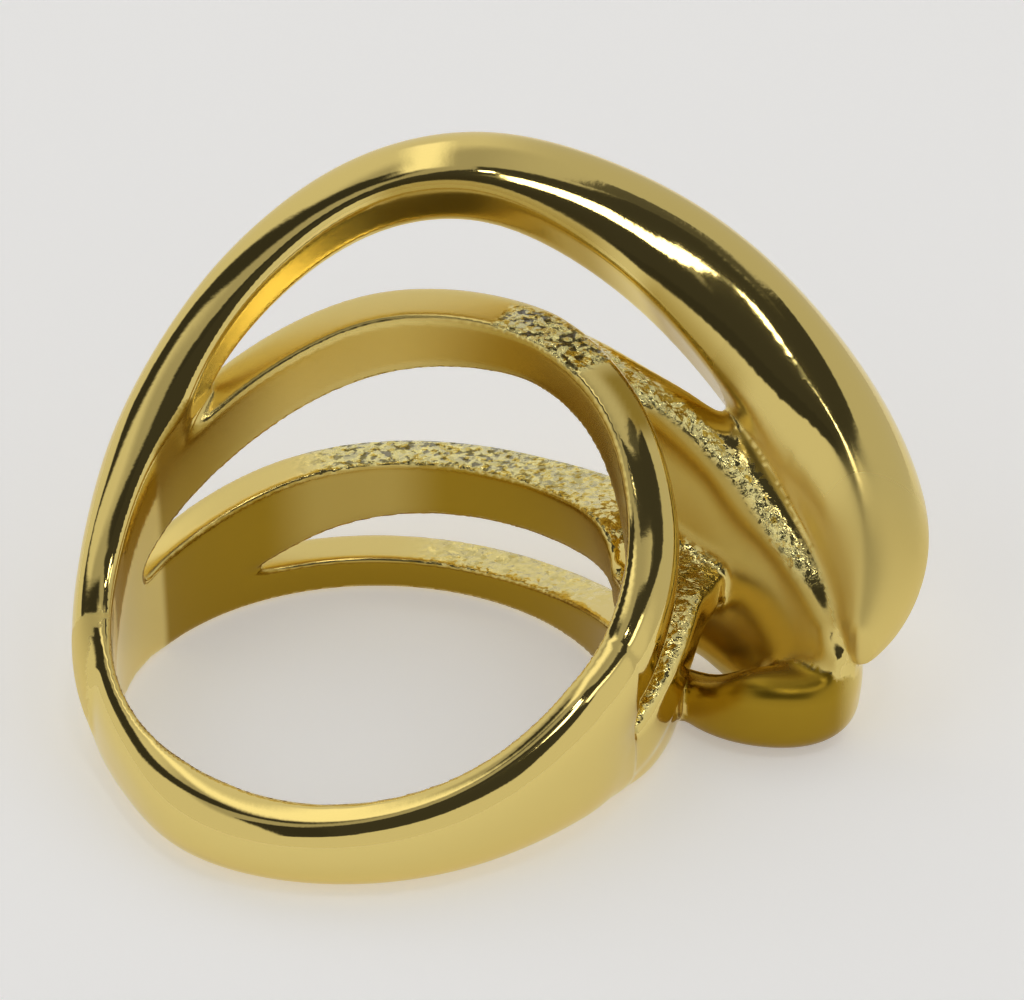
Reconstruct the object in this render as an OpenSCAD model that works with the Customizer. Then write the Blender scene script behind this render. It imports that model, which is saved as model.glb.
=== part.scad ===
// Statement ring cast in one piece, lying on its side as in the photo.
// Millimetres. The axis of the finger hole is +Z, the rim that lies on the table is at z = 0,
// the origin is on that axis at the table, and the head looks toward plan angle 57.
// Plan angles are in degrees from +X toward +Y. The photo looks along +Y from above.

/* [Part] */
// Which sub-part to draw

/* [Finger hole] */
// Radius of the finger hole at its plain land
hole_r = 9; // [8:0.5:10]
// Height of the plain land above the table
hole_land = 1.25; // [1.15:0.05:1.25]
// How much wider the hole is at its near end, for an easy fit
hole_flare = 0.15; // [0.1:0.05:0.2]

/* [Strands] */
// Thickness of strand 1 against the one in the photo
strand_fat = 1; // [1:0.05:1.1]

/* [Hidden] */
around = 18;                // points around each section
along = 2;                  // steps between two rows of a table
grow = hole_r - 9;          // every radius below is for a 9 mm hole and moves with it
gold = [0.80, 0.66, 0.36];

// Sections start inside radius 9, and the hole is cut afterwards.
// Sections start inside radius 9, and the hole is cut afterwards.
// Hoop rows: angle, inner radius, outer radius, low edge, high edge, roundness (0.25 nearly square, 1 oval)
hoop4_rows = [
    [160, 8.6, 10.2, 0, 2.2, 0.5], [140, 8.6, 10.7, 0, 1.7, 0.4], [120, 8.6, 10.9, 0, 1.45, 0.35],
    [90, 8.6, 11, 0, 1.45, 0.35], [57, 8.6, 11, 0, 1.4, 0.35], [33, 8.6, 11, 0, 1.9, 0.35],
    [15, 8.6, 11.1, 0, 2.5, 0.4], [0, 8.6, 11.2, 0, 2.9, 0.5], [-15, 8.6, 10.8, 0, 3, 0.6],
    [-30, 8.6, 10.4, 0, 3, 0.6]];
hoop3_rows = [
    [160, 8.6, 10.1, 0.6, 3.6, 0.4], [140, 8.6, 10.6, 1.1, 3.95, 0.3],
    [119, 8.6, 10.9, 1.45, 4.75, 0.3], [102, 8.6, 11, 2.6, 5.3, 0.3],
    [78, 8.6, 11.1, 3.3, 5.65, 0.3], [52, 8.6, 11.3, 3.6, 5.8, 0.3], [33, 8.6, 12, 3.9, 6.1, 0.3],
    [24, 8.6, 12.5, 4, 5.9, 0.4], [17, 8.6, 13.3, 3.4, 4.9, 0.6], [10, 8.6, 12.4, 3.2, 4.9, 0.4],
    [3, 8.6, 11.8, 2.9, 4.9, 0.3], [-8, 8.6, 11.3, 2.2, 4.2, 0.3], [-20, 8.6, 10.7, 1.2, 3.2, 0.4],
    [-32, 8.6, 10.4, 0.5, 2.4, 0.5]];
hoop2_rows = [
    [168, 8.6, 10.1, 2.5, 4.9, 0.4], [152, 8.6, 10.4, 4.3, 6.7, 0.3],
    [131, 8.6, 10.9, 5.9, 8.6, 0.3], [111, 8.6, 11.4, 7.6, 10.1, 0.3],
    [96, 8.6, 11.6, 8.6, 11.15, 0.3], [81, 8.6, 11.7, 9.4, 11.75, 0.3],
    [60, 8.6, 11.6, 9.8, 11.85, 0.3], [48, 8.5, 11.3, 9.8, 11.7, 0.35],
    [29, 8.1, 11, 9, 10.9, 0.5], [13, 7.8, 11, 7.2, 9.65, 0.7], [0, 7.7, 11, 5.9, 8.4, 0.75],
    [-12, 7.7, 10.9, 4.7, 7.5, 0.75], [-23, 7.7, 10.75, 3.4, 6.6, 0.75],
    [-36, 7.7, 10.6, 2.4, 5.6, 0.75]];

// Shank rows: angle, inner radius, outer radius, low edge, high edge, roundness
shank_rows = [
    [-27, 7.7, 10.9, 0.2, 6.35, 0.6], [-38, 7.7, 10.75, 0.3, 5.7, 0.7],
    [-53, 7.7, 10.6, 0.25, 4.65, 0.75], [-71, 7.7, 10.6, 0.1, 3.6, 0.8],
    [-94, 7.7, 10.7, 0, 2.95, 0.8], [-113, 7.7, 10.85, 0, 2.9, 0.8],
    [-128, 7.7, 10.75, 0, 3.1, 0.8], [-143, 7.7, 10.2, 0, 3.3, 0.8],
    [-158, 7.7, 10.05, 0, 3.7, 0.75], [-175, 7.8, 10.15, 0, 4.4, 0.7],
    [-190, 8, 10.35, 0, 5.2, 0.6], [-205, 8.3, 10.5, 0, 6, 0.5]];

// Strand rows: angle, radius and height of the middle of the inner face, thickness, width,
// tilt of the thickness above the level, roundness, share of the inner half that is kept
strand1_rows = [
    [196, 8.5, 2.2, 1.85, 2.2, 0, 0.8, 0.9], [184, 8.5, 3.1, 2, 2.6, 0, 0.8, 0.9],
    [170, 8.5, 4.3, 2.2, 2.8, 0, 0.8, 0.9], [158, 8.5, 5.9, 2.5, 2.9, 0, 0.9, 0.85],
    [146, 8.6, 7.5, 2.85, 2.8, 2, 1, 0.8], [133, 9.45, 9.3, 2.5, 2.6, 5, 1, 0.8],
    [120, 10.1, 11.2, 2.5, 2.5, 7, 0.95, 0.8], [107, 10.8, 12.75, 2.65, 2.5, 9, 0.92, 0.8],
    [92, 11.6, 14.3, 2.95, 2.5, 12, 0.92, 0.8], [77, 12.3, 14.75, 3.35, 2.6, 16, 0.95, 0.82],
    [66, 12.8, 14.15, 3.8, 2.9, 20, 0.95, 0.84], [55, 13.35, 12.9, 4.3, 3.4, 25, 0.92, 0.86],
    [45, 13.95, 11.35, 4.75, 3.9, 28, 0.85, 0.87], [36, 14.5, 9.75, 5, 4.6, 29, 0.8, 0.87],
    [28, 14.95, 8.35, 5.1, 5.4, 26, 0.8, 0.87], [20, 15.5, 7.1, 4.95, 6, 20, 0.95, 0.86],
    [12.5, 15.95, 6.1, 4.5, 5.8, 15, 1.2, 0.84], [6, 16.3, 5.4, 3.8, 4.9, 12, 1.25, 0.82],
    [1, 16.5, 4.75, 2.7, 3.9, 8, 1.2, 0.85], [-4, 16.6, 4, 1.5, 2.3, 5, 1, 0.9]];
strand2_rows = [
    [66, 9.3, 10.7, 1.6, 1.6, 0, 0.5, 1], [54, 9.6, 10.4, 2.1, 2.1, 0, 0.5, 1],
    [44, 9.9, 9.85, 2.5, 2.4, -4, 0.5, 1], [36, 10.4, 8.8, 2.7, 3.6, -8, 0.5, 1],
    [30, 10.9, 7.3, 2.8, 5.8, -10, 0.5, 1], [25, 11.4, 5.4, 2.8, 8.4, -10, 0.5, 1],
    [21, 11.9, 4.9, 2.8, 8, -12, 0.5, 1], [17.5, 12.4, 4.55, 2.8, 7.5, -14, 0.5, 1],
    [12.5, 13.1, 3.9, 2.8, 6.6, -18, 0.5, 1], [7, 13.8, 3.55, 2.7, 5.8, -22, 0.5, 1],
    [2.5, 14.6, 3.2, 2.4, 4.8, -25, 0.5, 1], [-1.5, 15.3, 2.8, 2, 3.8, -25, 0.6, 1],
    [-4, 15.9, 2.5, 1.6, 3, -20, 0.7, 1]];
// The web that closes the valley between strands 1 and 2
web_rows = [
    [29, 13, 7.6, 1.5, 2, 0, 0.6, 1], [24, 13.8, 6.9, 2.4, 3.6, 0, 0.6, 1],
    [18, 14.6, 5.6, 2.4, 4.6, 0, 0.6, 1], [12, 15.4, 4.5, 1.8, 4.2, 0, 0.6, 1],
    [6, 15.9, 3.8, 1.4, 3.4, 0, 0.6, 1], [0, 16.2, 3.4, 1, 2.4, 0, 0.6, 1]];

// Lower lobe rows: angle, radius and height of the middle, thickness, width
lobe_rows = [
    [8.5, 10.8, 0.9, 1.6, 1.7], [2.5, 11.5, 0.95, 1.8, 1.9], [-1.6, 12.3, 1.1, 2, 2.2],
    [-3.9, 13.3, 1.4, 2.4, 2.8], [-4.3, 14.5, 1.45, 2.7, 2.9], [-3.1, 15.6, 1.45, 2.8, 2.9],
    [0, 16.4, 1.6, 2.5, 2.9], [5, 16.5, 1.9, 2.1, 2.6], [9, 16.2, 2.1, 1.6, 2.2]];

// Working rows: angle, radius and height of the centre, half thickness, half width, tilt,
// roundness, kept share
function from_hoop(rows) = [for (r = rows)
    [r[0], (r[1] + r[2]) / 2 + grow, (r[3] + r[4]) / 2, (r[2] - r[1]) / 2,
     (r[4] - r[3]) / 2, 0, r[5], 1]];
function from_strand(rows, fat) = [for (r = rows)
    let (a = r[3] * fat / (1 + r[7]))
    [r[0], r[1] + grow + r[7] * a * cos(r[5]), r[2] + r[7] * a * sin(r[5]), a,
     r[4] / 2, r[5], r[6], r[7]]];
function from_lobe(rows) = [for (r = rows)
    [r[0], r[1] + grow, r[2], r[3] / 2, r[4] / 2, 0, 0.8, 1]];

// A smooth curve through the rows
function between(rows, i, t) =
    let (m = len(rows) - 1, a = rows[max(i - 1, 0)], b = rows[i],
         c = rows[min(i + 1, m)], d = rows[min(i + 2, m)])
    0.5 * (2 * b + (c - a) * t + (2 * a - 5 * b + 4 * c - d) * t * t
           + (3 * b - a - 3 * c + d) * t * t * t);
function smooth(rows) = concat(
    [for (i = [0 : len(rows) - 2], k = [0 : along - 1]) between(rows, i, k / along)],
    [rows[len(rows) - 1]]);

function bent(v, p) = v == 0 ? 0 : sign(v) * pow(abs(v), p);
function section(r) = [for (j = [0 : around - 1])
    let (t = 360 * j / around, x = max(r[3] * bent(cos(t), r[6]), -r[7] * r[3]),
         y = r[4] * bent(sin(t), r[6]))
    [x * cos(r[5]) - y * sin(r[5]), x * sin(r[5]) + y * cos(r[5])]];
function plan(r) = [r[1] * cos(r[0]), r[1] * sin(r[0])];
// The way out of the curve at station i, level and square to the path
function out(rows, i) =
    let (m = len(rows) - 1, d = plan(rows[min(i + 1, m)]) - plan(rows[max(i - 1, 0)]))
    [-d[1], d[0]] / norm(d);

// A solid swept through the sections, with flat ends. Rows run with falling angle.
module sweep(rows) {
    r = smooth(rows);
    n = len(r);
    points = [for (i = [0 : n - 1])
        let (c = plan(r[i]), o = out(r, i))
        each [for (q = section(r[i])) [c[0] + q[0] * o[0], c[1] + q[0] * o[1], r[i][2] + q[1]]]];
    sides = [for (i = [0 : n - 2], j = [0 : around - 1])
        let (a = i * around + j, b = i * around + (j + 1) % around)
        each [[a, a + around, b], [b, a + around, b + around]]];
    ends = [[for (j = [0 : around - 1]) j],
            [for (j = [around - 1 : -1 : 0]) (n - 1) * around + j]];
    polyhedron(points = points, faces = concat(sides, ends), convexity = 8);
}

module strands() {
    sweep(from_hoop(hoop4_rows));
    sweep(from_hoop(hoop3_rows));
    sweep(from_hoop(hoop2_rows));
    sweep(from_hoop(shank_rows));
    sweep(from_strand(strand1_rows, strand_fat));
    sweep(from_strand(strand2_rows, 1));
    sweep(from_lobe(lobe_rows));
    sweep(from_strand(web_rows, 1));
}

// A plain land at the table, then a slight flare
module finger_hole() {
    rotate_extrude()
        polygon([[0, -1], [hole_r, -1], [hole_r, hole_land],
                 [hole_r + hole_flare, 12], [hole_r + hole_flare, 14], [0, 14]]);
}

module ring() {
    color(gold)
        difference() {
            // a zero size keeps the size, and joins the strands as one skin
            resize([0, 0, 0]) strands();
            finger_hole();
        }
}

ring();
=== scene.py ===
import math

import bpy
import numpy as np
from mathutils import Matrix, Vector


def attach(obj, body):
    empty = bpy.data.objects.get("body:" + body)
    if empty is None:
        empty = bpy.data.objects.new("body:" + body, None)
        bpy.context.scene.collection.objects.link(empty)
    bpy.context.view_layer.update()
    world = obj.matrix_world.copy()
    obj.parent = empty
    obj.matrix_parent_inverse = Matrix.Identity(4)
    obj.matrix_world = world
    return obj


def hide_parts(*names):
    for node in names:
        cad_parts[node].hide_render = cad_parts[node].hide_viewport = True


# The ring of the photo as one polished casting. The tables are those of the part's source, in
# millimetres and degrees, except that strand 1 is less round here from 133 to 66 degrees. They
# are read as distances, so that the strands melt into each other with small fillets, and the skin
# is then drawn through the places of distance zero.

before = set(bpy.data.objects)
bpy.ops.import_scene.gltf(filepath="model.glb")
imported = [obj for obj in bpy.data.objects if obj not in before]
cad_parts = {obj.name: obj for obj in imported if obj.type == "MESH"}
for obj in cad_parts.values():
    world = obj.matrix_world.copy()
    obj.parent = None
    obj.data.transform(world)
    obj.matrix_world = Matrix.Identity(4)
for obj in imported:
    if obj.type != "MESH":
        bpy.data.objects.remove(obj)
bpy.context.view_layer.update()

MM = 0.001

# The grid of distances
CELL = 0.16                            # spacing of its points
GRID_LOW = (-11.4, -11.4, -0.8)        # its corners
GRID_HIGH = (20.8, 16.0, 17.4)
FAR = 3.0                              # the distance where no strand is near
NEAR = 2                               # strands are measured up to this far from their sections
NO_END = -9                            # stands for the distance past an end where there is none
CHUNK = 8000                           # points compared with a path at a time
TINY = 1e-4                            # keeps a division away from zero

# The curves through the rows of the tables
STEPS = 24                             # points from one row to the next
FAIR = 14                              # how many of them a wave is smoothed over
LOBE_BEND = 0.8                        # roundness of the lobe's sections

# Fillets, rims and ends
FILLET = 0.55                          # reach of the fillet where two strands meet
WEB_FILLET = 1.3                       # the same where the web fills the valley
SLACK = 0.055                          # the strands are drawn in by this, inside the solid's box
RIM = 0.22                             # reach of the soft rim at the finger hole
BASE_RIM = RIM / 3                     # the same at the side that the ring lies on
END_REACH = 2.5                        # strands slim down over this length at their ends
END_SLIM = 0.3                         # and by this much, so that the ends stay inside others

# The finger hole, with a plain land and a slight flare above it
HOLE_R = 9.0
HOLE_LAND = 1.25
HOLE_FLARE = 0.15
HOLE_TOP = 12.0                        # height where the flare is full

# The skin is drawn onto the places of distance zero in rounds. Some of them even it out first.
ROUNDS = 6
EVEN_ROUNDS = (1, 3)
AXES = np.eye(3, dtype=int)

# Hoop rows: angle, inner radius, outer radius, low edge, high edge, roundness
HOOP_4 = [
    (160, 8.6, 10.2, 0, 2.2, 0.5), (140, 8.6, 10.7, 0, 1.7, 0.4), (120, 8.6, 10.9, 0, 1.45, 0.35),
    (90, 8.6, 11.0, 0, 1.45, 0.35), (57, 8.6, 11.0, 0, 1.4, 0.35), (33, 8.6, 11.0, 0, 1.9, 0.35),
    (15, 8.6, 11.1, 0, 2.5, 0.4), (0, 8.6, 11.2, 0, 2.9, 0.5), (-15, 8.6, 10.8, 0, 3.0, 0.6),
    (-30, 8.6, 10.4, 0, 3.0, 0.6)]
HOOP_3 = [
    (160, 8.6, 10.1, 0.6, 3.6, 0.4), (140, 8.6, 10.6, 1.1, 3.95, 0.3),
    (119, 8.6, 10.9, 1.45, 4.75, 0.3), (102, 8.6, 11.0, 2.6, 5.3, 0.3),
    (78, 8.6, 11.1, 3.3, 5.65, 0.3), (52, 8.6, 11.3, 3.6, 5.8, 0.3),
    (33, 8.6, 12.0, 3.9, 6.1, 0.3), (24, 8.6, 12.5, 4.0, 5.9, 0.4),
    (17, 8.6, 13.3, 3.4, 4.9, 0.6), (10, 8.6, 12.4, 3.2, 4.9, 0.4),
    (3, 8.6, 11.8, 2.9, 4.9, 0.3), (-8, 8.6, 11.3, 2.2, 4.2, 0.3),
    (-20, 8.6, 10.7, 1.2, 3.2, 0.4), (-32, 8.6, 10.4, 0.5, 2.4, 0.5)]
HOOP_2 = [
    (168, 8.6, 10.1, 2.5, 4.9, 0.4), (152, 8.6, 10.4, 4.3, 6.7, 0.3),
    (131, 8.6, 10.9, 5.9, 8.6, 0.3), (111, 8.6, 11.4, 7.6, 10.1, 0.3),
    (96, 8.6, 11.6, 8.6, 11.15, 0.3), (81, 8.6, 11.7, 9.4, 11.75, 0.3),
    (60, 8.6, 11.6, 9.8, 11.85, 0.3), (48, 8.5, 11.3, 9.8, 11.7, 0.35),
    (29, 8.1, 11.0, 9.0, 10.9, 0.5), (13, 7.8, 11.0, 7.2, 9.65, 0.7),
    (0, 7.7, 11.0, 5.9, 8.4, 0.75), (-12, 7.7, 10.9, 4.7, 7.5, 0.75),
    (-23, 7.7, 10.75, 3.4, 6.6, 0.75), (-36, 7.7, 10.6, 2.4, 5.6, 0.75)]
SHANK = [
    (-27, 7.7, 10.9, 0.2, 6.35, 0.6), (-38, 7.7, 10.75, 0.3, 5.7, 0.7),
    (-53, 7.7, 10.6, 0.25, 4.65, 0.75), (-71, 7.7, 10.6, 0.1, 3.6, 0.8),
    (-94, 7.7, 10.7, 0, 2.95, 0.8), (-113, 7.7, 10.85, 0, 2.9, 0.8),
    (-128, 7.7, 10.75, 0, 3.1, 0.8), (-143, 7.7, 10.2, 0, 3.3, 0.8),
    (-158, 7.7, 10.05, 0, 3.7, 0.75), (-175, 7.8, 10.15, 0, 4.4, 0.7),
    (-190, 8.0, 10.35, 0, 5.2, 0.6), (-205, 8.3, 10.5, 0, 6.0, 0.5)]

# Strand rows: angle, radius and height of the middle of the inner face, thickness, width,
# tilt of the thickness above the level, roundness, share of the inner half that is kept
STRAND_1 = [
    (196, 8.5, 2.2, 1.85, 2.2, 0, 0.8, 0.9), (184, 8.5, 3.1, 2.0, 2.6, 0, 0.8, 0.9),
    (170, 8.5, 4.3, 2.2, 2.8, 0, 0.8, 0.9), (158, 8.5, 5.9, 2.5, 2.9, 0, 0.9, 0.85),
    (146, 8.6, 7.5, 2.85, 2.8, 2, 1, 0.8), (133, 9.45, 9.3, 2.5, 2.6, 5, 0.9, 0.8),
    (120, 10.1, 11.2, 2.5, 2.5, 7, 0.8, 0.8), (107, 10.8, 12.75, 2.65, 2.5, 9, 0.8, 0.8),
    (92, 11.6, 14.3, 2.95, 2.5, 12, 0.8, 0.8), (77, 12.3, 14.75, 3.35, 2.6, 16, 0.82, 0.82),
    (66, 12.8, 14.15, 3.8, 2.9, 20, 0.88, 0.84), (55, 13.35, 12.9, 4.3, 3.4, 25, 0.92, 0.86),
    (45, 13.95, 11.35, 4.75, 3.9, 28, 0.85, 0.87), (36, 14.5, 9.75, 5.0, 4.6, 29, 0.8, 0.87),
    (28, 14.95, 8.35, 5.1, 5.4, 26, 0.8, 0.87), (20, 15.5, 7.1, 4.95, 6.0, 20, 0.95, 0.86),
    (12.5, 15.95, 6.1, 4.5, 5.8, 15, 1.2, 0.84), (6, 16.3, 5.4, 3.8, 4.9, 12, 1.25, 0.82),
    (1, 16.5, 4.75, 2.7, 3.9, 8, 1.2, 0.85), (-4, 16.6, 4.0, 1.5, 2.3, 5, 1, 0.9)]
STRAND_2 = [
    (66, 9.3, 10.7, 1.6, 1.6, 0, 0.5, 1), (54, 9.6, 10.4, 2.1, 2.1, 0, 0.5, 1),
    (44, 9.9, 9.85, 2.5, 2.4, -4, 0.5, 1), (36, 10.4, 8.8, 2.7, 3.6, -8, 0.5, 1),
    (30, 10.9, 7.3, 2.8, 5.8, -10, 0.5, 1), (25, 11.4, 5.4, 2.8, 8.4, -10, 0.5, 1),
    (21, 11.9, 4.9, 2.8, 8.0, -12, 0.5, 1), (17.5, 12.4, 4.55, 2.8, 7.5, -14, 0.5, 1),
    (12.5, 13.1, 3.9, 2.8, 6.6, -18, 0.5, 1), (7, 13.8, 3.55, 2.7, 5.8, -22, 0.5, 1),
    (2.5, 14.6, 3.2, 2.4, 4.8, -25, 0.5, 1), (-1.5, 15.3, 2.8, 2.0, 3.8, -25, 0.6, 1),
    (-4, 15.9, 2.5, 1.6, 3.0, -20, 0.7, 1)]
# The web that closes the valley between strands 1 and 2
WEB = [
    (29, 13.0, 7.6, 1.5, 2.0, 0, 0.6, 1), (24, 13.8, 6.9, 2.4, 3.6, 0, 0.6, 1),
    (18, 14.6, 5.6, 2.4, 4.6, 0, 0.6, 1), (12, 15.4, 4.5, 1.8, 4.2, 0, 0.6, 1),
    (6, 15.9, 3.8, 1.4, 3.4, 0, 0.6, 1), (0, 16.2, 3.4, 1.0, 2.4, 0, 0.6, 1)]

# Lobe rows: angle, radius and height of the middle, thickness, width
LOBE = [
    (8.5, 10.8, 0.9, 1.6, 1.7), (2.5, 11.5, 0.95, 1.8, 1.9), (-1.6, 12.3, 1.1, 2.0, 2.2),
    (-3.9, 13.3, 1.4, 2.4, 2.8), (-4.3, 14.5, 1.45, 2.7, 2.9), (-3.1, 15.6, 1.45, 2.8, 2.9),
    (0, 16.4, 1.6, 2.5, 2.9), (5, 16.5, 1.9, 2.1, 2.6), (9, 16.2, 2.1, 1.6, 2.2)]


# The next three turn a table into working rows: angle, radius and height of the centre, half
# thickness, half width, tilt, roundness, kept share of the inner half.

def from_hoop(rows):
    made = []
    for angle, inner, outer, low, high, bend in rows:
        made.append((angle, (inner + outer) / 2, (low + high) / 2,
                     (outer - inner) / 2, (high - low) / 2, 0, bend, 1))
    return made


def from_strand(rows):
    made = []
    for angle, radius, height, thick, wide, tilt, bend, kept in rows:
        half = thick / (1 + kept)
        turn = math.radians(tilt)
        made.append((angle, radius + kept * half * math.cos(turn),
                     height + kept * half * math.sin(turn), half, wide / 2, tilt, bend, kept))
    return made


def from_lobe(rows):
    return [(angle, radius, height, thick / 2, wide / 2, 0, LOBE_BEND, 1)
            for angle, radius, height, thick, wide in rows]


def blurred(rows):
    """Each column averaged over its neighbours, with the ends kept."""
    reach = np.arange(-3 * FAIR, 3 * FAIR + 1)
    weight = np.exp(-(reach / FAIR) ** 2 / 2)
    padded = np.pad(rows, ((3 * FAIR, 3 * FAIR), (0, 0)), mode="reflect", reflect_type="odd")
    return np.stack([np.convolve(column, weight / weight.sum(), "valid")
                     for column in padded.T], 1)


def smooth_rows(rows):
    """A curve through the rows with STEPS points to a row, and small waves in it smoothed out."""
    rows = np.array(rows, float)
    ends = np.vstack([rows[:1], rows, rows[-1:]])
    t = (np.arange(STEPS) / STEPS)[:, None]
    spans = []
    for i in range(len(rows) - 1):
        a, b, c, d = ends[i:i + 4]
        spans.append(0.5 * (2 * b + (c - a) * t + (2 * a - 5 * b + 4 * c - d) * t ** 2
                            + (3 * b - a - 3 * c + d) * t ** 3))
    once = blurred(np.vstack(spans + [rows[-1:]]))
    return 2 * once - blurred(once)


def soft_min(a, b, reach):
    """The smaller of two distances, with a fillet where they are about the same."""
    near = np.maximum(reach - np.abs(a - b), 0) / reach
    return np.minimum(a, b) - near * near * reach / 4


def soft_max(a, b, reach):
    """The larger of two distances, with a soft edge where they are about the same."""
    return -soft_min(-a, -b, reach)


class Strand:
    """A band swept along a path in plan. Its sections stand upright and square to the path."""

    def __init__(self, rows, fillet=FILLET):
        self.fillet = fillet
        self.rows = smooth_rows(rows)
        angle = np.radians(self.rows[:, 0])
        self.path = self.rows[:, 1:2] * np.stack([np.cos(angle), np.sin(angle)], 1)
        along = np.gradient(self.path, axis=0)
        self.along = along / np.linalg.norm(along, axis=1)[:, None]
        steps = np.linalg.norm(np.diff(self.path, axis=0), axis=1)
        self.length = np.concatenate([[0], np.cumsum(steps)])
        self.count = np.arange(len(self.path))

    def place(self, plan):
        """For points in plan: the row beside each, how far outside the path the point lies, how
        far past an end, and how far along the path from the nearer end."""
        nearest = np.empty(len(plan), int)
        for part in np.array_split(np.arange(len(plan)), 1 + len(plan) // CHUNK):
            gap = plan[part, None, :] - self.path[None]
            nearest[part] = np.argmin((gap ** 2).sum(2), axis=1)
        last = len(self.path) - 1
        behind = ((plan - self.path[nearest]) * self.along[nearest]).sum(1) < 0
        first = np.clip(nearest - behind, 0, last - 1)
        start = self.path[first]
        step = self.path[first + 1] - start
        share = ((plan - start) * step).sum(1) / (step ** 2).sum(1)
        past = np.maximum(-share, share - 1) * np.linalg.norm(step, axis=1)
        beyond = (first == 0) & (share < 0) | (first == last - 1) & (share > 1)
        past = np.where(beyond, past, NO_END)
        share = np.clip(share, 0, 1)
        gone = np.interp(first + share, self.count, self.length)
        to_end = np.minimum(self.length[-1] - gone, gone)
        share = share[:, None]
        row = self.rows[first] * (1 - share) + self.rows[first + 1] * share
        along = self.along[first] * (1 - share) + self.along[first + 1] * share
        outward = np.stack([-along[:, 1], along[:, 0]], 1)
        centre = start + step * share
        return row, ((plan - centre) * outward).sum(1), past, to_end

    def distance(self, row, out, past, to_end, z):
        """About how far points are from the surface, less than zero inside."""
        height, half_thick, half_wide, tilt, bend, kept = (row[:, i:i + 1] for i in range(2, 8))
        out = out[:, None]
        rise = z - height
        turn = np.radians(tilt)
        x = out * np.cos(turn) + rise * np.sin(turn)
        y = rise * np.cos(turn) - out * np.sin(turn)
        power = 2 / bend
        u = np.abs(x / half_thick) + TINY
        v = np.abs(y / half_wide) + TINY
        top = np.maximum(u, v)
        form = top * ((u / top) ** power + (v / top) ** power) ** (1 / power)
        slope = np.hypot((u / form) ** (power - 1) / half_thick,
                         (v / form) ** (power - 1) / half_wide)
        gap = soft_max((form - 1) / slope, -kept * half_thick - x, RIM)
        slim = np.clip(1 - to_end / END_REACH, 0, 1)
        gap = gap + END_SLIM * (slim * slim)[:, None]
        return soft_max(gap, past[:, None], FILLET)


# In the order in which they are joined
STRANDS = {
    "hoop_4": Strand(from_hoop(HOOP_4)),
    "hoop_3": Strand(from_hoop(HOOP_3)),
    "hoop_2": Strand(from_hoop(HOOP_2)),
    "shank": Strand(from_hoop(SHANK)),
    "strand_1": Strand(from_strand(STRAND_1)),
    "strand_2": Strand(from_strand(STRAND_2)),
    "lobe": Strand(from_lobe(LOBE)),
    "web": Strand(from_strand(WEB), WEB_FILLET)}


def cut_hole_and_base(gaps, plan, zs):
    """Distances with the finger hole and the level side that the ring lies on cut out."""
    flare = np.clip((zs - HOLE_LAND) / (HOLE_TOP - HOLE_LAND), 0, 1) * HOLE_FLARE
    hole = (HOLE_R + flare)[None] - np.hypot(plan[:, 0], plan[:, 1])[:, None]
    return soft_max(soft_max(gaps, hole, RIM), -zs[None], BASE_RIM)


def ring_distances(low, count):
    """Distances on the grid, and the number of the strand that each point is nearest to."""
    xs, ys, zs = (low[i] + CELL * np.arange(count[i]) for i in range(3))
    plan = np.stack(np.meshgrid(xs, ys, indexing="ij"), 2).reshape(-1, 2)
    whole = np.full((len(plan), len(zs)), FAR)
    owner = np.zeros(whole.shape, np.int8)
    best = whole.copy()
    for number, strand in enumerate(STRANDS.values()):
        row, out, past, to_end = strand.place(plan)
        near = (np.abs(out) < row[:, 3] + row[:, 4] + NEAR) & (past < NEAR)
        gap = strand.distance(row[near], out[near], past[near], to_end[near], zs[None])
        closer = gap < best[near]
        best[near] = np.where(closer, gap, best[near])
        owner[near] = np.where(closer, number, owner[near])
        whole[near] = soft_min(whole[near], gap, strand.fillet)
    whole = cut_hole_and_base(whole + SLACK, plan, zs)
    return whole.reshape(count), owner.reshape(count)


def sample(grid, low, points):
    """The grid's value at points, blended between the eight corners around each."""
    place = (points - low) / CELL
    base = np.clip(np.floor(place).astype(int), 0, np.array(grid.shape[:3]) - 2)
    share = place - base
    value = 0
    for corner in np.ndindex(2, 2, 2):
        at = base + corner
        weight = np.prod(np.where(corner, share, 1 - share), axis=1)
        found = grid[at[:, 0], at[:, 1], at[:, 2]]
        value = value + (weight[:, None] * found if found.ndim > 1 else weight * found)
    return value


def crossing_points(gaps, cells):
    """For each of the cells, the mean of the places where its edges cross the surface."""
    total = np.zeros((len(cells), 3))
    count = np.zeros((len(cells), 1))
    for axis, side in enumerate(AXES):
        for a, b in np.ndindex(2, 2):
            start = np.insert([a, b], axis, 0)
            one = gaps[tuple((cells + start).T)]
            two = gaps[tuple((cells + start + side).T)]
            cut = (one < 0) != (two < 0)
            share = np.where(cut, one / np.where(cut, one - two, 1), 0)
            total += cut[:, None] * (start + side * share[:, None])
            count += cut[:, None]
    return cells + total / count


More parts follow.
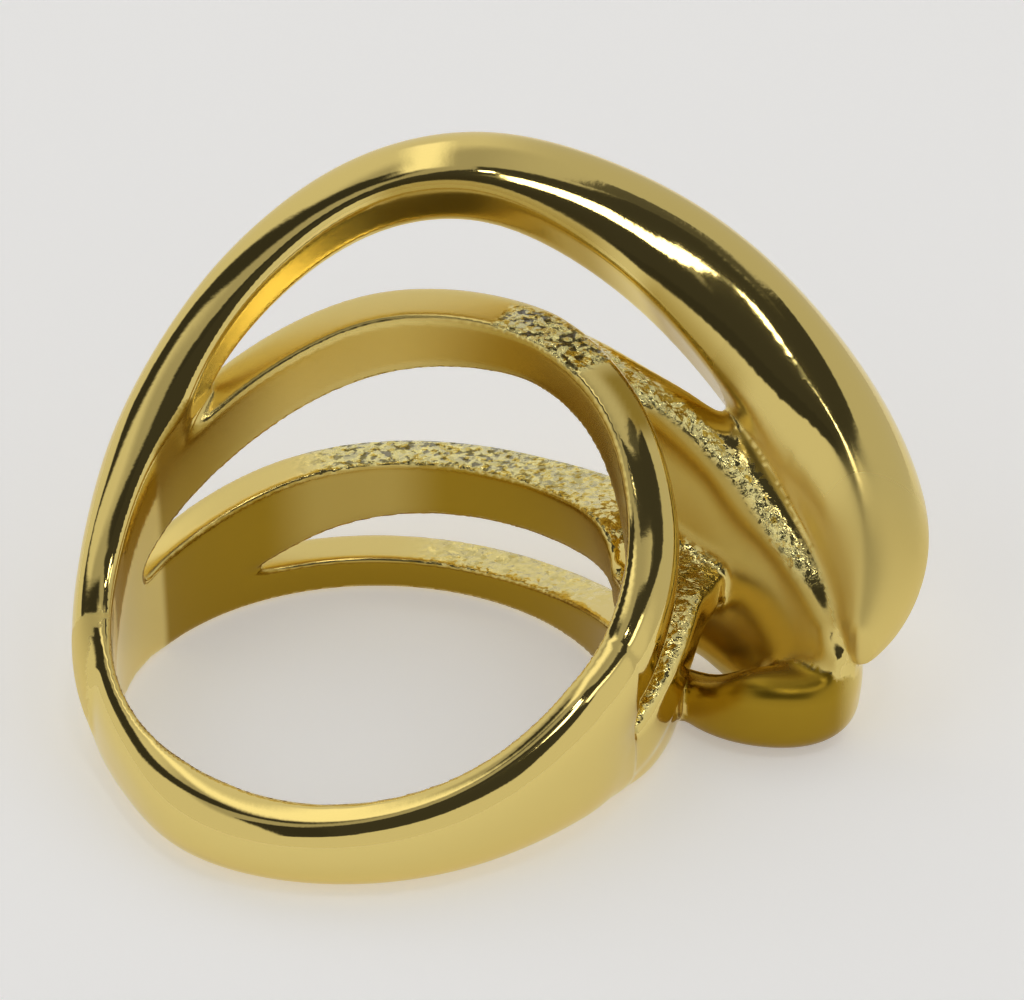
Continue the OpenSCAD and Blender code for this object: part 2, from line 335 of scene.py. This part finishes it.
def surface_net(gaps, low):
    """One point in each cell that the surface crosses, and a face round each crossed edge."""
    solid = gaps < 0
    x, y, z = np.array(gaps.shape) - 1
    corners = np.zeros((x, y, z), np.int8)
    for i, j, k in np.ndindex(2, 2, 2):
        corners += solid[i:i + x, j:j + y, k:k + z]
    crossed = np.argwhere((corners > 0) & (corners < 8))
    number = np.full(corners.shape, -1)
    number[tuple(crossed.T)] = np.arange(len(crossed))
    here = solid[:x, :y, :z]
    faces = []
    for axis, (i, j, k) in enumerate(AXES):
        b, c = AXES[(axis + 1) % 3], AXES[(axis + 2) % 3]
        there = solid[i:i + x, j:j + y, k:k + z]
        for sense, change in ((1, here & ~there), (-1, there & ~here)):
            at = np.argwhere(change)
            at = at[((at - b - c) >= 0).all(1)]
            around = [at - b - c, at - c, at, at - b][::sense]
            faces.append(np.stack([number[tuple(cell.T)] for cell in around], 1))
    return low + CELL * crossing_points(gaps, crossed), np.vstack(faces)


def neighbour_mean(points, faces):
    """Each point moved to the middle of its neighbours, which evens out the skin."""
    total = np.zeros_like(points)
    count = np.zeros(len(points))
    for i in range(4):
        one, two = faces[:, i], faces[:, (i + 1) % 4]
        for here, there in ((one, two), (two, one)):
            for axis in range(3):
                total[:, axis] += np.bincount(here, points[there, axis], len(points))
            count += np.bincount(here, minlength=len(points))
    return total / count[:, None]


def ring_skin():
    """Points, faces, normals and nearest strand of the whole ring."""
    low = np.array(GRID_LOW)
    count = tuple(int(v) for v in np.ceil((np.array(GRID_HIGH) - low) / CELL))
    gaps, owner = ring_distances(low, count)
    slopes = np.stack(np.gradient(gaps, CELL), 3)
    points, faces = surface_net(gaps, low)
    for turn in range(ROUNDS):
        if turn in EVEN_ROUNDS:
            points = neighbour_mean(points, faces)
        slope = sample(slopes, low, points)
        points = points - (sample(gaps, low, points) / (slope ** 2).sum(1))[:, None] * slope
    normals = sample(slopes, low, points)
    normals /= np.linalg.norm(normals, axis=1)[:, None]
    nearest = np.round((points - low) / CELL).astype(int)
    return points, faces, normals, owner[tuple(nearest.T)]


def make_mesh(name, points, faces, normals):
    """A smooth mesh object of four-sided faces, in metres, with the normals given."""
    mesh = bpy.data.meshes.new(name)
    mesh.vertices.add(len(points))
    mesh.vertices.foreach_set("co", (points * MM).astype(np.float32).ravel())
    mesh.loops.add(faces.size)
    mesh.loops.foreach_set("vertex_index", faces.astype(np.int32).ravel())
    mesh.polygons.add(len(faces))
    mesh.polygons.foreach_set("loop_start", np.arange(0, faces.size, 4, dtype=np.int32))
    mesh.update(calc_edges=True)
    mesh.validate()
    mesh.polygons.foreach_set("use_smooth", np.ones(len(mesh.polygons), bool))
    mesh.normals_split_custom_set_from_vertices(normals.tolist())
    thing = bpy.data.objects.new(name, mesh)
    bpy.context.collection.objects.link(thing)
    return thing


# The finish. Each zone of the skin has some of each: satin roughness, the rough skin of the mould,
# painted shade as a darker gold in hollows and on inner faces, and dark pits in the rough skin.
FINISHES = ("satin", "cast", "painted_shade", "pits")
AMOUNTS = {
    "crest": (0, 1, 0, 0.15),          # the top of strand 2
    "rough_2": (0, 1, 0, 1),           # hoop 2 beside the crest
    "rough_3": (0, 1, 0, 0),           # hoop 3
    "pitted_3": (0, 0, 0, 1),          # its pits
    "rough_4": (0, 0.5, 0, 0.1),       # hoop 4
    "hoop_faces": (0.2, 0, 0, 0),      # the smooth parts of the hoops' tops
    "bore": (0.18, 0, 0, 0),           # the inner faces of the hoops
    "bore_shade": (0, 0, 1, 0),         # painted shade on them, as a darker gold
    "wall": (0.2, 0, 0.6, 0),          # the inner side of strand 2, with painted shade
    "lobe": (0.25, 0, 1, 0),           # painted shade on the camera side of the lobe
    "valley": (0.25, 0, 0.8, 0),       # the web between strands 1 and 2, with painted shade
    "hollow": (0.25, 0, 0, 0),         # the inner side of strand 1 beside the web
    "under": (0.12, 0, 0.7, 0),        # the inner side of strand 1 above the widest gap, with painted shade
    "end": (0.45, 0, 0, 0),            # the broad end of strand 1
    "corner": (0, 0, 0.9, 0)}          # painted shade on hoop 2 where it meets strand 2
LESS_SHADE_2 = 0.65                          # share of the painted shade taken off hoop 2's inner face
LESS_SHADE_3 = 0.4                           # and off hoop 3's
BORE_PALER = 0.15                      # inner faces get less painted shade by this, but for hoops 3 and 4
BORE_RADIUS = 9.3                      # the hole's wall lies inside this radius
WEB_FROM = 30                          # the web and the hollow lie below this angle


def fade(value, low, high):
    """Zero below low and one above high, with a smooth step between."""
    t = np.clip((value - low) / (high - low), 0, 1)
    return t * t * (3 - 2 * t)


class Skin:
    """Where each point of the skin lies, which way it faces and which strand it is nearest to.

    Angles are in plan. For inward, away and up, 1 means that the skin faces straight that way."""

    def __init__(self, points, normals, owner):
        self.x = points[:, 0]
        self.angle = np.degrees(np.arctan2(points[:, 1], points[:, 0]))
        self.radius = np.hypot(points[:, 0], points[:, 1])
        out = normals[:, 0] * points[:, 0] + normals[:, 1] * points[:, 1]
        self.inward = -out / self.radius
        self.away = normals[:, 1]
        self.up = normals[:, 2]
        self.flat_top = fade(self.up, 0.6, 0.85)
        self.owner = owner

    def on(self, *names):
        """True where the nearest strand is one of these."""
        numbers = [list(STRANDS).index(name) for name in names]
        return np.isin(self.owner, numbers)

    def arc(self, low, high, soft):
        """One from the low to the high angle, with soft ends inside them."""
        return fade(self.angle, low, low + soft) * fade(-self.angle, -high, soft - high)


def rough_zones(at):
    """The rough skin: the inner part of the crest and of hoop 2's top, and hoops 3 and 4."""
    rows = np.array(STRAND_2[::-1])
    depth = at.radius - np.interp(at.angle, rows[:, 0], rows[:, 1])
    crest = at.on("strand_2") * fade(at.up, 0.5, 0.75) * fade(at.angle, 2, 8)
    crest = crest * fade(-depth, -2.1, -1.5)
    rough_2 = at.flat_top * at.on("hoop_2") * at.arc(36, 63, 3) * fade(-at.radius, -11.2, -10.7)
    rougher = fade(at.angle, 15, 70)
    rough_3 = at.flat_top * at.on("hoop_3") * at.arc(-40, 110, 16) * (0.5 + 0.5 * rougher)
    rough_4 = at.flat_top * at.on("hoop_4") * at.arc(25, 88, 20)
    return {"crest": crest, "rough_2": rough_2, "rough_3": rough_3,
            "pitted_3": (0.1 + 0.7 * rougher) * rough_3, "rough_4": rough_4}


def bore_zones(at):
    """The inner faces of the hoops, with painted shade on them."""
    over_finger = fade(at.angle, -35, 0) * fade(-at.angle, -149, -146)
    bore = fade(at.inward, 0.6, 0.9) * (at.radius < BORE_RADIUS) * over_finger
    less_shade = LESS_SHADE_2 * at.on("hoop_2") * at.arc(55, 137, 32)
    less_shade = less_shade + LESS_SHADE_3 * at.on("hoop_3") * at.arc(72, 118, 16)
    paler = BORE_PALER * ~at.on("hoop_3", "hoop_4")
    return {"bore": bore, "bore_shade": (1 - paler - less_shade) * bore}


def hidden_zones(at):
    """Places around the window and the broad end, and strand 1's side toward the finger."""
    # The wall, lobe, valley, under and corner zones carry painted shade as a darker gold.
    wall = at.on("strand_2") * fade(at.inward, 0.1, 0.5) * (at.radius < 16.5)
    lobe = at.on("lobe") * fade(-at.x, -17.6, -16.4) * fade(-at.away, -0.5, 0.1)
    valley = at.on("web") * (at.angle < WEB_FROM)
    hollow = at.on("strand_1") * (at.angle < WEB_FROM) * fade(at.inward, 0.5, 0.8)
    under = np.maximum(at.arc(46, 94, 9), at.arc(22, 46, 5))
    under = at.on("strand_1") * fade(at.inward, 0.5, 0.9) * under
    end = at.on("strand_1") * fade(-at.angle, -15, -3)
    corner = at.on("hoop_2") * at.arc(16, 38, 6) * fade(at.radius, 9.7, 10.2) * at.flat_top
    return {"wall": wall, "lobe": lobe, "valley": valley, "hollow": hollow, "under": under,
            "end": end, "corner": corner}


def strongest(zones, finish):
    """At each point, the most that any zone has of a finish."""
    column = FINISHES.index(finish)
    return np.maximum.reduce([AMOUNTS[name][column] * zone for name, zone in zones.items()])


def finish_values(at):
    """For each finish, how much of it each point of the skin has."""
    zones = rough_zones(at)
    smooth = 1 - strongest(zones, "cast")
    hoops = at.on("hoop_2", "hoop_3", "hoop_4")
    zones["hoop_faces"] = smooth * at.flat_top * fade(at.angle, 30, 45) * hoops
    zones.update(bore_zones(at))
    zones.update(hidden_zones(at))
    return {finish: strongest(zones, finish) for finish in FINISHES}


def put_values(thing, name, values):
    """Keep a value for each point of the mesh, for its material to read."""
    layer = thing.data.attributes.new(name, "FLOAT", "POINT")
    layer.data.foreach_set("value", values.astype(np.float32))


def node(tree, kind, inputs, **settings):
    """A new node with its settings. Each input is a plain value or another node's output."""
    made = tree.nodes.new(kind)
    for name, value in settings.items():
        setattr(made, name, value)
    for name, value in inputs.items():
        if isinstance(value, bpy.types.NodeSocket):
            tree.links.new(value, made.inputs[name])
        else:
            made.inputs[name].default_value = value
    return made


def maths(tree, kind, *inputs):
    """The result of one step of arithmetic in a material."""
    return node(tree, "ShaderNodeMath", dict(enumerate(inputs)), operation=kind).outputs[0]


def vectors(tree, kind, inputs, output="Vector"):
    """The same with vectors."""
    return node(tree, "ShaderNodeVectorMath", inputs, operation=kind).outputs[output]


# Colours of the metal
PALE_GOLD = (0.82, 0.65, 0.22, 1)      # polished by wear
PAINTED_SHADE_GOLD = (0.38, 0.24, 0.02, 1)      # painted shade, in hollows and on inner faces
CAST_GOLD = (0.94, 0.84, 0.36, 1)      # on the rough skin
PIT_BROWN = (0.09, 0.07, 0.02, 1)      # in its pits

# The metal's surface. Grain and facets are counted per metre.
POLISH_ROUGHNESS = 0.06
CAST_ROUGHNESS = 0.05                  # added on the rough skin
GRAIN_SCALE = 3500
GRAIN_DETAIL = 3
PIT_EDGE = 0.5                         # grain below this begins to be a pit
PIT_HEART = 0.42                       # grain below this is all pit
FACET_SCALE = 4500
FACET_LEAN = 0.9                       # how far the facets of the rough skin lean
CAST_BUMP = 0.85                       # how much the grain dents the rough skin
POLISH_BUMP = 0.012                    # and the polish
BUMP_DEPTH = 0.00015                   # in metres


def mixed_colour(tree, share, base, colour):
    """The base colour, turning to the other one where the share is 1."""
    inputs = {"Factor": share, "A": base, "B": colour}
    return node(tree, "ShaderNodeMix", inputs, data_type="RGBA").outputs["Result"]


def metal_colour(tree, painted_shade, cast, pits, grain):
    """Pale gold, darker gold as painted shade and the gold of the rough skin, with brown pits on
    top.
    """
    specks = node(tree, "ShaderNodeMapRange",
                  {"Value": grain, "From Min": PIT_EDGE, "From Max": PIT_HEART})
    pitted = maths(tree, "MULTIPLY", specks.outputs["Result"], pits)
    colour = mixed_colour(tree, painted_shade, PALE_GOLD, PAINTED_SHADE_GOLD)
    colour = mixed_colour(tree, cast, colour, CAST_GOLD)
    return mixed_colour(tree, pitted, colour, PIT_BROWN)


def metal_normal(tree, place, cast, grain):
    """The skin's own normal, leant over by small facets and dented by the grain."""
    facets = node(tree, "ShaderNodeTexVoronoi", {"Vector": place, "Scale": FACET_SCALE})
    lean = vectors(tree, "SUBTRACT", {0: facets.outputs["Color"], 1: (0.5, 0.5, 0.5)})
    lean = vectors(tree, "SCALE", {0: lean, "Scale": maths(tree, "MULTIPLY", cast, FACET_LEAN)})
    own = node(tree, "ShaderNodeNewGeometry", {}).outputs["Normal"]
    leaning = vectors(tree, "ADD", {0: own, 1: lean})
    strength = maths(tree, "ADD", maths(tree, "MULTIPLY", cast, CAST_BUMP), POLISH_BUMP)
    bump = node(tree, "ShaderNodeBump", {"Distance": BUMP_DEPTH, "Strength": strength,
                                         "Height": grain, "Normal": leaning})
    return bump.outputs["Normal"]


def gold_metal():
    """Mirror polished gold plating with painted shade as darker gold, and rough cast left on it.
    """
    material = bpy.data.materials.new("gold_plate")
    material.use_nodes = True
    tree = material.node_tree
    satin, cast, painted_shade, pits = (
        node(tree, "ShaderNodeAttribute", {}, attribute_name=finish).outputs["Fac"]
        for finish in FINISHES)
    place = node(tree, "ShaderNodeTexCoord", {}).outputs["Object"]
    noise = node(tree, "ShaderNodeTexNoise",
                 {"Vector": place, "Scale": GRAIN_SCALE, "Detail": GRAIN_DETAIL})
    grain = noise.outputs["Fac"]
    roughness = maths(tree, "ADD", maths(tree, "MULTIPLY", cast, CAST_ROUGHNESS),
                      POLISH_ROUGHNESS)
    roughness = maths(tree, "ADD", roughness, satin)
    shader = tree.nodes["Principled BSDF"]
    shader.inputs["Metallic"].default_value = 1.0
    tree.links.new(metal_colour(tree, painted_shade, cast, pits, grain), shader.inputs["Base Color"])
    tree.links.new(metal_normal(tree, place, cast, grain), shader.inputs["Normal"])
    tree.links.new(roughness, shader.inputs["Roughness"])
    return material


# The floor, in metres
FLOOR_SIZE = 1.6
FLOOR_COLOUR = (0.9, 0.9, 0.9, 1)
FLOOR_ROUGHNESS = 0.9
FLOOR_GLOW = 0.28                      # lightens its shadows, as in a light tent


def add_floor():
    bpy.ops.mesh.primitive_plane_add(size=FLOOR_SIZE, location=(0, 0, 0))
    floor = bpy.context.object
    floor.name = "floor"
    white = bpy.data.materials.new("floor_white")
    white.use_nodes = True
    shader = white.node_tree.nodes["Principled BSDF"]
    shader.inputs["Base Color"].default_value = FLOOR_COLOUR
    shader.inputs["Roughness"].default_value = FLOOR_ROUGHNESS
    shader.inputs["Emission Color"].default_value = (1, 1, 1, 1)
    shader.inputs["Emission Strength"].default_value = FLOOR_GLOW
    floor.data.materials.append(white)


# The photo's camera, as fitted to the finger hole
CAMERA_PLACE = (5.08, -126.66, 85.44)
CAMERA_DOWN = 31                       # degrees that it looks down
FOCAL_LENGTH = 4260                    # in pixels of the photo
PHOTO_WIDTH = 1024                     # in pixels
SENSOR_WIDTH = 36                      # in millimetres
NEAREST = 0.01                         # nothing closer than this is drawn, in metres


def add_camera():
    data = bpy.data.cameras.new("camera")
    data.sensor_width = SENSOR_WIDTH
    data.lens = FOCAL_LENGTH / PHOTO_WIDTH * SENSOR_WIDTH
    data.clip_start = NEAREST
    camera = bpy.data.objects.new("camera", data)
    camera.location = Vector(CAMERA_PLACE) * MM
    camera.rotation_euler = (math.radians(90 - CAMERA_DOWN), 0, 0)
    bpy.context.collection.objects.link(camera)
    bpy.context.scene.camera = camera


# What the polished metal mirrors is a pale room with cards and lamps far away. They are placed on
# the sky laid flat: a direction lies as many degrees from the centre as it is from straight up,
# toward its own azimuth, so that -y is the camera's side. Each row gives a card's middle (x, y),
# the turn of its length, its half length, its half width and the width of its soft edge, all in
# degrees, and its brightness. Later cards lie over earlier ones.
WALLS = 0.72                           # brightness of the walls
WALL_TOP = 50                          # their height, in degrees
WALL_SOFT = 12                         # and that of the soft step to the ceiling
CEILING = 0.42                         # brightness of the ceiling
LIGHT_COLOUR = (1, 0.98, 0.95, 1)      # a little warm
JUST_OVER_ONE = 1.00001                # keeps a division away from zero straight up
CARDS = [
    (50, 40, 0, 34, 34, 16, 0.55),     # a dimmer wall, behind on the right
    (-35, 15.5, -23, 25, 6, 4, 0.04),  # dark, high on the left
    (-17, -32, 90, 17, 9, 3, 0.04),    # dark, in front on the left
    (10, -31, 0, 22, 16, 3, 0.05),     # dark, in front
    (-3, -9.5, 37, 10, 4.5, 2, 0.05),  # dark, near the top, in front
    (22, 6, 50, 14, 6, 2, 0.05),       # dark, high on the right
    (17, 14, 72, 5.5, 1.6, 1, 0.1),    # a thin dark strip, high behind on the right
    (8, -3, 90, 8, 6, 2, 0.05),        # dark, near the top, on the right
    (24, -9, 80, 5, 2.5, 2, 2.5),      # a lamp, high on the right
    (-10, 28, 90, 18, 1, 6, 1.2),      # a pale strip lamp, behind
    (8.2, -12.2, 90, 4.8, 2.2, 1, 6),  # the long lamp, which draws the streak on strand 1
    (3, -3.6, 0, 1.3, 1.1, 0.3, 14)]   # a small square lamp, near the top


def inside(tree, value, half, soft):
    """One where the value is less than half a width from zero, and a soft edge beyond it."""
    inputs = {"Value": maths(tree, "ABSOLUTE", value), "From Min": half + soft, "From Max": half}
    ramp = node(tree, "ShaderNodeMapRange", inputs, interpolation_type="SMOOTHSTEP")
    return ramp.outputs["Result"]


def mixed(tree, share, bright, light):
    """The light, turning to the card's brightness where the share is 1."""
    change = maths(tree, "SUBTRACT", bright, light)
    return maths(tree, "MULTIPLY_ADD", share, change, light)


def laid_flat(tree, toward):
    """A direction's place on the flat sky, with 1 as its third value, and its angle from up."""
    up = vectors(tree, "DOT_PRODUCT", {0: toward, 1: (0, 0, 1)}, "Value")
    from_up = maths(tree, "DEGREES", maths(tree, "ARCCOSINE", up))
    level = maths(tree, "SUBTRACT", JUST_OVER_ONE, maths(tree, "MULTIPLY", up, up))
    stretch = maths(tree, "DIVIDE", from_up, maths(tree, "SQRT", level))
    flat = vectors(tree, "SCALE", {0: toward, "Scale": stretch})
    return vectors(tree, "MULTIPLY_ADD", {0: flat, 1: (1, 1, 0), 2: (0, 0, 1)}), from_up


def add_world():
    world = bpy.data.worlds.new("studio")
    world.use_nodes = True
    tree = world.node_tree
    toward = node(tree, "ShaderNodeTexCoord", {}).outputs["Generated"]
    flat, from_up = laid_flat(tree, toward)
    height = maths(tree, "SUBTRACT", 90, from_up)
    light = mixed(tree, inside(tree, height, WALL_TOP, WALL_SOFT), WALLS, CEILING)
    for x, y, turn, half_long, half_wide, soft, bright in CARDS:
        c, s = math.cos(math.radians(turn)), math.sin(math.radians(turn))
        ahead = vectors(tree, "DOT_PRODUCT", {0: flat, 1: (c, s, -x * c - y * s)}, "Value")
        aside = vectors(tree, "DOT_PRODUCT", {0: flat, 1: (-s, c, x * s - y * c)}, "Value")
        share = maths(tree, "MULTIPLY", inside(tree, ahead, half_long, soft),
                      inside(tree, aside, half_wide, soft))
        light = mixed(tree, share, bright, light)
    background = tree.nodes["Background"]
    background.inputs["Color"].default_value = LIGHT_COLOUR
    tree.links.new(light, background.inputs["Strength"])
    bpy.context.scene.world = world


points, faces, normals, owner = ring_skin()
ring = make_mesh("ring_cast", points, faces, normals)
ring.data.materials.append(gold_metal())
for finish, values in finish_values(Skin(points, normals, owner)).items():
    put_values(ring, finish, values)
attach(ring, "root")
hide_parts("ring")

add_floor()
add_camera()
add_world()
bpy.context.scene.view_settings.view_transform = "Standard"
